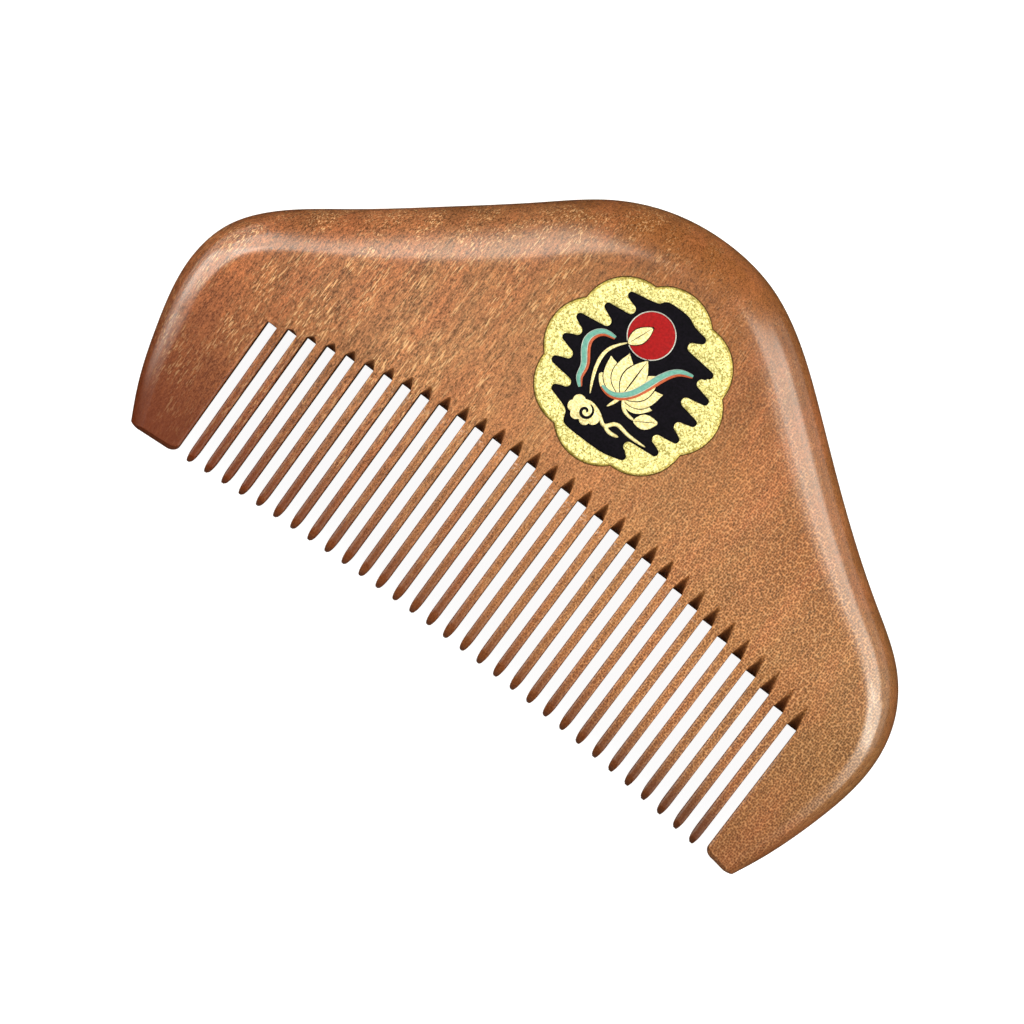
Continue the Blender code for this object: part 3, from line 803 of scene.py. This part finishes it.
class Graph:
    """Short calls for building a material's nodes; lengths in its patterns are in millimetres."""

    def __init__(self, name):
        self.material = bpy.data.materials.new(name)
        self.material.use_nodes = True
        self.tree = self.material.node_tree
        self.shader = self.tree.nodes["Principled BSDF"]
        self.where = self.add("TexCoord").outputs["Object"]

    def feed(self, socket, value):
        if isinstance(value, bpy.types.NodeSocket):
            self.tree.links.new(value, socket)
        else:
            socket.default_value = value

    def add(self, kind, inputs=None, **settings):
        node = self.tree.nodes.new("ShaderNode" + kind)
        for key, value in settings.items():
            setattr(node, key, value)
        for key, value in (inputs or {}).items():
            self.feed(node.inputs[key], value)
        return node

    def math(self, operation, a, b=0.0):
        return self.add("Math", {0: a, 1: b}, operation=operation).outputs[0]

    def total(self, *values):
        """Sum of several values."""
        result = values[0]
        for value in values[1:]:
            result = self.math("ADD", result, value)
        return result

    def scaled(self, x, y, z=None):
        """Object coordinates with this many units to a millimetre."""
        factors = (1000 * x, 1000 * y, 1000 * (x if z is None else z))
        return self.add("VectorMath", {0: self.where, 1: factors}, operation="MULTIPLY").outputs[0]

    def noise(self, where, detail=2.0, roughness=0.5, distortion=0.0):
        inputs = {"Vector": where, "Scale": 1.0, "Detail": detail}
        inputs.update({"Roughness": roughness, "Distortion": distortion})
        return self.add("TexNoise", inputs).outputs["Fac"]

    def cells(self, where, randomness=1.0, **settings):
        inputs = {"Vector": where, "Scale": 1.0, "Randomness": randomness}
        return self.add("TexVoronoi", inputs, **settings).outputs["Distance"]

    def span(self, value, low, high, to_low=0.0, to_high=1.0, smooth=False):
        kind = "SMOOTHSTEP" if smooth else "LINEAR"
        inputs = {"Value": value, "From Min": low, "From Max": high, "To Min": to_low, "To Max": to_high}
        return self.add("MapRange", inputs, interpolation_type=kind).outputs["Result"]

    def mix(self, share, one, other, mode="MIX"):
        node = self.add("Mix", data_type="RGBA", blend_type=mode)
        self.feed(node.inputs[0], share)
        self.feed(node.inputs[6], one if isinstance(one, bpy.types.NodeSocket) else (*one, 1.0))
        self.feed(node.inputs[7], other if isinstance(other, bpy.types.NodeSocket) else (*other, 1.0))
        return node.outputs[2]

    def ramp(self, value, stops):
        node = self.add("ValToRGB", {"Fac": value})
        elements = node.color_ramp.elements
        while len(elements) < len(stops):
            elements.new(0.5)
        for element, (place, colour) in zip(elements, stops):
            element.position = place
            element.color = (*colour, 1.0)
        return node.outputs["Color"]

    def shade(self, colour, factor):
        """Colour made lighter or darker by a factor."""
        return self.add("VectorMath", {0: colour, "Scale": factor}, operation="SCALE").outputs[0]

    def axis(self, name):
        """One coordinate, in millimetres."""
        split = self.add("SeparateXYZ", {0: self.where})
        return self.math("MULTIPLY", split.outputs[name], 1000.0)

    def bump(self, height, depth):
        """Bump from a 0 to 1 pattern that is this many millimetres deep."""
        inputs = {"Strength": 1.0, "Distance": depth * MM, "Height": height}
        self.feed(self.shader.inputs["Normal"], self.add("Bump", inputs).outputs["Normal"])

    def finish(self, colour, roughness, **constants):
        self.feed(self.shader.inputs["Base Color"], colour)
        self.feed(self.shader.inputs["Roughness"], roughness)
        for name, value in constants.items():
            self.shader.inputs[name.replace("_", " ").title().replace("Ior", "IOR")].default_value = value
        return self.material


# Colours: of the wood along the board and of its crown; painted shade for the feet; the darker tips; the
# pores; the sawn faces, with painted shade deep in the slots; and the figure
WOOD_ALONG = (
    (0.02, (0.195, 0.064, 0.021)),
    (0.26, (0.235, 0.102, 0.041)),
    (0.50, (0.255, 0.110, 0.039)),
    (0.78, (0.238, 0.098, 0.033)),
    (0.95, (0.180, 0.079, 0.026)),
)
REDDISH_WOOD = (0.250, 0.079, 0.028)
CROWN_WOOD = (0.125, 0.036, 0.006)
# Painted shade: the colour that darkens the feet, most at the left, where the light falls away
FOOT_PAINTED_SHADE = (0.090, 0.013, 0.001)
TIP_BROWN = (0.055, 0.017, 0.005)
PORE_BROWN = (0.105, 0.032, 0.006)
# Sawn brown: partly the sawn wood's own darker tone, partly painted shade mixed in deeper in the slots
SAWN_BROWN_AND_SHADE = (0.16, 0.050, 0.016)
CREAM = (0.62, 0.37, 0.17)

# Patterns of the wood: units to a millimetre across and along the grain
CROWN_WAVER = (0.06, 0.05)
PATCHES = (0.11, 0.05)
REDNESS = (0.22, 0.05)
FINE_GRAIN = (5.6, 1.8)
LONG_GRAIN = (2.6, 0.22)
SPECKLE = (6.0, 4.6)
BLOTCH = (1.2, 0.8)
STREAKS = (5.5, 0.55)
STREAK_PLACES = (0.35, 0.12)
PORES = (3.4, 3.1)

# Places on the wood, in mm from its middle or above its feet
HALF_LENGTH = 50
CROWN_FROM = 26
CROWN_TO = 62
FIGURE_LEFT = -36
FIGURE_RIGHT = 12
POROUS_LEFT = -18
POROUS_RIGHT = 30
GUARDS_FROM = 42.5
GUARDS_TO = 40.5
DARK_TIPS_FROM = 10.0
DARK_TIPS_TO = 1.5
# Where the painted shade at the feet starts and where it is full, in mm above the feet
FOOT_SHADE_FROM = 28
FOOT_SHADE_TO = -2

# Strength of each part of the grain at the left and at the right of the board
FINE_STRENGTH = (4.6, 2.4)
LONG_STRENGTH = (2.2, 0.8)
SPECKLE_STRENGTH = (3.2, 3.0)
BLOTCH_STRENGTH = (0.3, 0.2)
PALE_STREAKS = (0.85, 0.20)
DARK_STREAKS = (0.45, 0.25)
GRAIN_LEAST = -0.7
GRAIN_MOST = 1.0
WOOD_RELIEF = 0.010


def wood(name, sawn=False):
    """Oiled hardwood, grain along the teeth: streaked at the left, flecked and porous at the right."""
    g = Graph(name)
    x = g.axis("X")
    y = g.math("ADD", g.axis("Y"), HEIGHT / 2)
    colour = g.ramp(g.span(x, -HALF_LENGTH, HALF_LENGTH), WOOD_ALONG)
    crown = g.math("ADD", y, g.span(g.noise(g.scaled(*CROWN_WAVER), 2.0), 0.3, 0.7, -6, 6))
    crown = g.math("ADD", crown, g.span(x, -10, 20, 0.0, 8.0, smooth=True))
    crown = g.span(crown, CROWN_FROM, CROWN_TO, 0.0, 0.75, smooth=True)
    colour = g.mix(crown, colour, CROWN_WOOD)
    patches = g.noise(g.scaled(*PATCHES), 3.0, 0.55, 0.4)
    colour = g.shade(colour, g.span(patches, 0.3, 0.7, 0.88, 1.12))
    redness = g.noise(g.scaled(*REDNESS), 3.0, 0.55, 0.3)
    colour = g.mix(g.span(redness, 0.46, 0.68, 0.0, 0.55), colour, REDDISH_WOOD)

    rightness = g.span(x, FIGURE_LEFT, FIGURE_RIGHT, smooth=True)

    def strength(ends):
        return g.span(rightness, 0, 1, *ends)

    fine = g.math("SUBTRACT", g.noise(g.scaled(*FINE_GRAIN), 3.0, 0.8), 0.5)
    long_grain = g.math("SUBTRACT", g.noise(g.scaled(*LONG_GRAIN), 3.0, 0.7), 0.5)
    speckle = g.math("SUBTRACT", g.noise(g.scaled(*SPECKLE), 3.0, 0.8), 0.5)
    blotch = g.math("SUBTRACT", g.noise(g.scaled(*BLOTCH), 2.0, 0.6), 0.5)
    grain = g.total(
        g.math("MULTIPLY", fine, strength(FINE_STRENGTH)),
        g.math("MULTIPLY", long_grain, strength(LONG_STRENGTH)),
        g.math("MULTIPLY", speckle, strength(SPECKLE_STRENGTH)),
        g.math("MULTIPLY", blotch, strength(BLOTCH_STRENGTH)),
    )
    grain = g.span(grain, GRAIN_LEAST, GRAIN_MOST, GRAIN_LEAST, GRAIN_MOST)
    colour = g.shade(colour, g.math("ADD", grain, 1.0))

    streaks = g.noise(g.scaled(*STREAKS), 2.0, 0.6)
    where_streaks = g.span(g.noise(g.scaled(*STREAK_PLACES), 2.0), 0.42, 0.62)
    pale = g.math("MULTIPLY", g.span(streaks, 0.56, 0.64), strength(PALE_STREAKS))
    colour = g.mix(g.math("MULTIPLY", pale, where_streaks), colour, CREAM)
    dark = g.math("MULTIPLY", g.span(streaks, 0.34, 0.25), strength(DARK_STREAKS))
    colour = g.mix(dark, colour, PORE_BROWN)

    half = g.math("MULTIPLY", g.span(y, 0, TAPER_START, FOOT_RATIO, 1.0), HALF_THICKNESS)
    off_middle = g.math("ABSOLUTE", g.math("SUBTRACT", g.axis("Z"), HALF_THICKNESS))
    depth = g.math("SUBTRACT", half, off_middle)
    cells = g.cells(g.scaled(*PORES), randomness=0.7, voronoi_dimensions="2D")
    porous = g.span(x, POROUS_LEFT, POROUS_RIGHT, 0.12, 1.0, smooth=True)
    porous = g.math("MULTIPLY", porous, g.span(y, 60, 34, 0.45, 1.0))
    porous = g.math("MULTIPLY", porous, g.span(depth, 1.1, 0.3, smooth=True))
    pits = g.math("MULTIPLY", g.span(cells, 0.10, 0.60, -0.40, 0.38), porous)
    colour = g.shade(colour, g.math("ADD", pits, 1.0))
    net = g.math("MULTIPLY", g.span(cells, 0.46, 0.70, 0.0, 0.30), porous)
    colour = g.mix(net, colour, CREAM)

    ragged = g.math("ADD", y, g.span(fine, -0.2, 0.2, 2.0, -2.0))
    tips = g.span(ragged, DARK_TIPS_FROM, DARK_TIPS_TO, smooth=True)
    on_teeth = g.span(g.math("ABSOLUTE", x), GUARDS_FROM, GUARDS_TO)
    on_teeth = g.math("MULTIPLY", on_teeth, g.span(x, -40, 30, 0.35, 0.9))
    colour = g.mix(g.math("MULTIPLY", tips, on_teeth), colour, TIP_BROWN)
    # Painted shade: the feet darker towards the bottom, most at the left, where the light falls away
    foot = g.span(y, FOOT_SHADE_FROM, FOOT_SHADE_TO, smooth=True)
    foot = g.math("MULTIPLY", g.span(x, -45, 30, 0.95, 0.34), foot)
    colour = g.mix(foot, colour, FOOT_PAINTED_SHADE)

    roughness = g.span(speckle, -0.2, 0.2, 0.34, 0.44)
    coat = 1.0
    if sawn:
        # Painted shade: the sawn faces darker the deeper they lie in the slots, on top of the sawn wood's
        # darker tone
        inside = g.span(depth, 0.1, 1.6)
        colour = g.mix(g.math("MULTIPLY", inside, 0.4), colour, SAWN_BROWN_AND_SHADE)
        roughness = g.span(inside, 0.0, 1.0, 0.42, 0.6)
        coat = 0.3
    g.bump(g.math("ADD", grain, pits), WOOD_RELIEF)
    return g.finish(
        colour, roughness,
        specular_ior_level=0.12, coat_weight=coat, coat_roughness=0.2, coat_ior=1.75,
    )


GOLD_RELIEF = 0.10
ENAMEL_RELIEF = 0.008


def gold(name, colour, fleck, metallic, speckle):
    """Foil-like gold with olive flecks and pale ones."""
    g = Graph(name)
    duller = tuple(c * 0.85 for c in colour)
    paler = tuple(min(1.0, c * 1.25 + 0.12) for c in colour)
    grain = g.noise(g.scaled(2.9, 2.9), 3.0, 0.7)
    fine = g.noise(g.scaled(4.6, 4.6), 2.0, 0.6)
    broad = g.noise(g.scaled(0.5, 0.5), 2.0)
    share = g.math("MULTIPLY", g.span(grain, 0.56, 0.44), speckle)
    tone = g.mix(g.span(broad, 0.35, 0.65, 0.0, 0.25), colour, duller)
    tone = g.mix(share, tone, fleck)
    tone = g.mix(g.span(fine, 0.50, 0.60, 0.0, speckle), tone, paler)
    g.bump(g.math("ADD", grain, g.math("MULTIPLY", fine, 0.5)), GOLD_RELIEF)
    return g.finish(tone, g.span(grain, 0.3, 0.7, 0.5, 0.34), metallic=metallic)


def enamel(name, colour, shade, roughness, grain, gloss=0.25):
    """Fired enamel with faint mottling, its grain in units to a millimetre."""
    g = Graph(name)
    cloud = g.noise(g.scaled(grain, grain), 3.0, 0.6)
    tone = g.mix(g.span(cloud, 0.35, 0.65), colour, shade)
    g.bump(cloud, ENAMEL_RELIEF)
    uneven = g.span(cloud, 0.3, 0.7, roughness - 0.05, roughness + 0.1)
    return g.finish(tone, uneven, specular_ior_level=gloss)


def make_colours():
    return {
        "face": wood("polished_wood"),
        "sawn": wood("sawn_wood_and_slot_shade", sawn=True),
        "gold": gold("gold_foil", (0.60, 0.54, 0.21), (0.22, 0.185, 0.03), 0.5, 0.9),
        "rim": gold("gold_rim", (0.40, 0.32, 0.06), (0.16, 0.12, 0.015), 0.5, 0.8),
        "relief": gold("gold_relief", (0.66, 0.58, 0.29), (0.36, 0.29, 0.09), 0.4, 0.6),
        "silver": gold("silver_wire", (0.42, 0.45, 0.42), (0.20, 0.23, 0.20), 0.6, 0.3),
        "black": enamel(
            "black_enamel", (0.001, 0.001, 0.002), (0.004, 0.003, 0.006), 0.5, 4.0, gloss=0.04,
        ),
        "red": enamel("red_enamel", (0.27, 0.004, 0.005), (0.18, 0.002, 0.003), 0.4, 3.0, gloss=0.12),
        "teal": enamel("teal_enamel", (0.12, 0.30, 0.25), (0.075, 0.225, 0.19), 0.4, 3.0),
        "orange": enamel("orange_enamel", (0.40, 0.085, 0.028), (0.29, 0.05, 0.017), 0.4, 3.0),
        "glue": enamel("glue_film", (0.70, 0.66, 0.52), (0.60, 0.56, 0.44), 0.5, 1.0),
    }


# ---------- stage ----------

# Camera almost straight above the comb, rolled as the comb lies in the picture; lengths in mm
CAMERA_ROLL = 37.0
CAMERA_DISTANCE = 2600.0
CAMERA_SLIDE = 32.0
AIM = (-1.87, -11.4)
VIEW_WIDTH = 125.8294
SENSOR = 36.0

# Nearest and farthest distance the camera sees, in metres
NEAREST = 0.05
FARTHEST = 50.0


def make_camera():
    data = bpy.data.cameras.new("camera")
    data.sensor_width = SENSOR
    data.lens = SENSOR * CAMERA_DISTANCE / VIEW_WIDTH
    data.clip_start = NEAREST
    data.clip_end = FARTHEST
    camera = bpy.data.objects.new("camera", data)
    aim = Vector((AIM[0], AIM[1], FRONT)) * MM
    place = aim + Vector((CAMERA_SLIDE, 0.0, CAMERA_DISTANCE)) * MM
    back = (place - aim).normalized()
    roll = math.radians(CAMERA_ROLL)
    right = Vector((math.cos(roll), math.sin(roll), 0.0))
    right = (right - back * right.dot(back)).normalized()
    turn = Matrix((right, back.cross(right), back)).transposed().to_4x4()
    camera.matrix_world = Matrix.Translation(place) @ turn
    bpy.context.scene.collection.objects.link(camera)
    bpy.context.scene.camera = camera


# Soft panels: name, bearing in the picture and lean from overhead in degrees, length along
# the bearing and width across it in metres, power in watts
PANELS = (
    ("panel_left", 150, 48, 0.90, 0.36, 4.10),
    ("panel_top", 113, 38, 0.60, 0.32, 2.10),
    ("panel_flank", 10, 49, 0.50, 0.34, 2.00),
    ("panel_right", -22, 47, 0.80, 0.38, 4.40),
    ("panel_foot", -44, 48, 1.10, 0.34, 2.60),
    ("side_left", 135, 78, 0.60, 0.90, 1.90),
    ("side_right", -4, 80, 0.70, 0.90, 1.40),
)
PANEL_DISTANCE = 0.7
PANEL_COLOUR = (1.0, 0.96, 0.84)
WORLD_STRENGTH = 0.28
FLOOR_SIZE = 1500.0
FLOOR_GREYS = ((0.30, 0.30, 0.30), (0.31, 0.31, 0.31))
FLOOR_GLOW = 0.93
WHITE = (1.0, 1.0, 1.0, 1.0)


def softbox(name, bearing, lean, length, width, power):
    """Soft light towards a bearing in the picture (degrees from its right), leaning from overhead."""
    data = bpy.data.lights.new(name, "AREA")
    data.shape = "RECTANGLE"
    data.size = width
    data.size_y = length
    data.energy = power
    data.color = PANEL_COLOUR
    light = bpy.data.objects.new(name, data)
    turn = math.radians(bearing + CAMERA_ROLL)
    tilt = math.radians(lean)
    direction = Vector((math.cos(turn) * math.sin(tilt), math.sin(turn) * math.sin(tilt), math.cos(tilt)))
    light.location = direction * PANEL_DISTANCE
    across = Vector((-math.sin(turn), math.cos(turn), 0.0))
    light.rotation_euler = Matrix((across, direction.cross(across), direction)).transposed().to_euler()
    bpy.context.scene.collection.objects.link(light)


def make_stage():
    world = bpy.data.worlds.new("world")
    bpy.context.scene.world = world
    world.use_nodes = True
    background = world.node_tree.nodes["Background"]
    background.inputs["Color"].default_value = WHITE
    background.inputs["Strength"].default_value = WORLD_STRENGTH
    world.cycles_visibility.glossy = False
    for panel in PANELS:
        softbox(*panel)

    bm = bmesh.new()
    bmesh.ops.create_grid(bm, x_segments=8, y_segments=8, size=FLOOR_SIZE)
    g = Graph("pale_floor")
    dust = g.noise(g.scaled(0.02, 0.02), 2.0)
    floor = new_object("floor", bm, [g.finish(g.mix(dust, *FLOOR_GREYS), 0.9)])
    g.shader.inputs["Emission Color"].default_value = WHITE
    g.shader.inputs["Emission Strength"].default_value = FLOOR_GLOW
    floor.visible_glossy = False
    bpy.context.scene.view_settings.view_transform = "Standard"


def main():
    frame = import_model()
    colours = make_colours()
    glue = frame["nodes"]["adhesive_bed"]
    glue.data.materials.clear()
    glue.data.materials.append(colours["glue"])
    make_board(colours["face"], colours["sawn"])
    make_medallion(colours)
    make_camera()
    make_stage()
    bpy.context.view_layer.update()


main()
